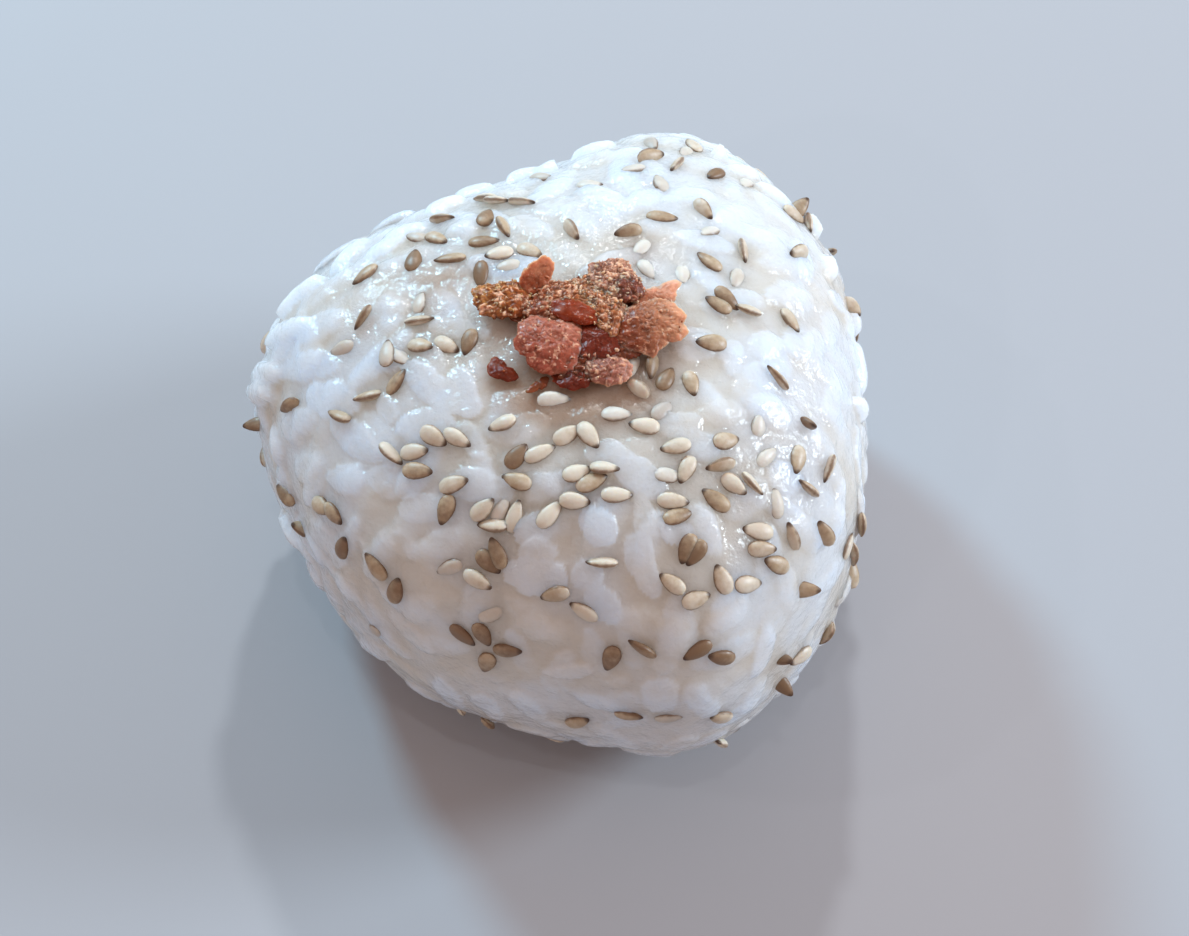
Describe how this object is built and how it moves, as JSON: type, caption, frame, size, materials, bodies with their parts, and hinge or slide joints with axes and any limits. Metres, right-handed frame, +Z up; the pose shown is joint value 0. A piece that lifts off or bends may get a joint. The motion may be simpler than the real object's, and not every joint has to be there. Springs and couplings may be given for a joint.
{
  "type": "onigiri rice ball",
  "caption": "Rounded three-cornered ball of pressed cooked rice with sesame seeds and a small heap of flaked grilled fish on top.",
  "frame": {"origin": "middle of the flat spot that the ball rests on", "axes": "+Z up, out of the face that carries the topping; -Y towards the viewer of the shown side, +X to the viewer's right"},
  "size_m": [0.059, 0.064, 0.0429],
  "materials": {
    "cooked_rice": "moist cooked white rice, milky and a little translucent, with a wet gloss",
    "grilled_salmon": "dry flaked grilled salmon, pink-orange to brown, granular",
    "sesame_seed": "toasted white sesame, cream to tan with a dark tip, satin"
  },
  "bodies": {
    "root": {"rice_ball": "cooked_rice", "salmon_heap": "grilled_salmon"}
  },
  "joints": []
}
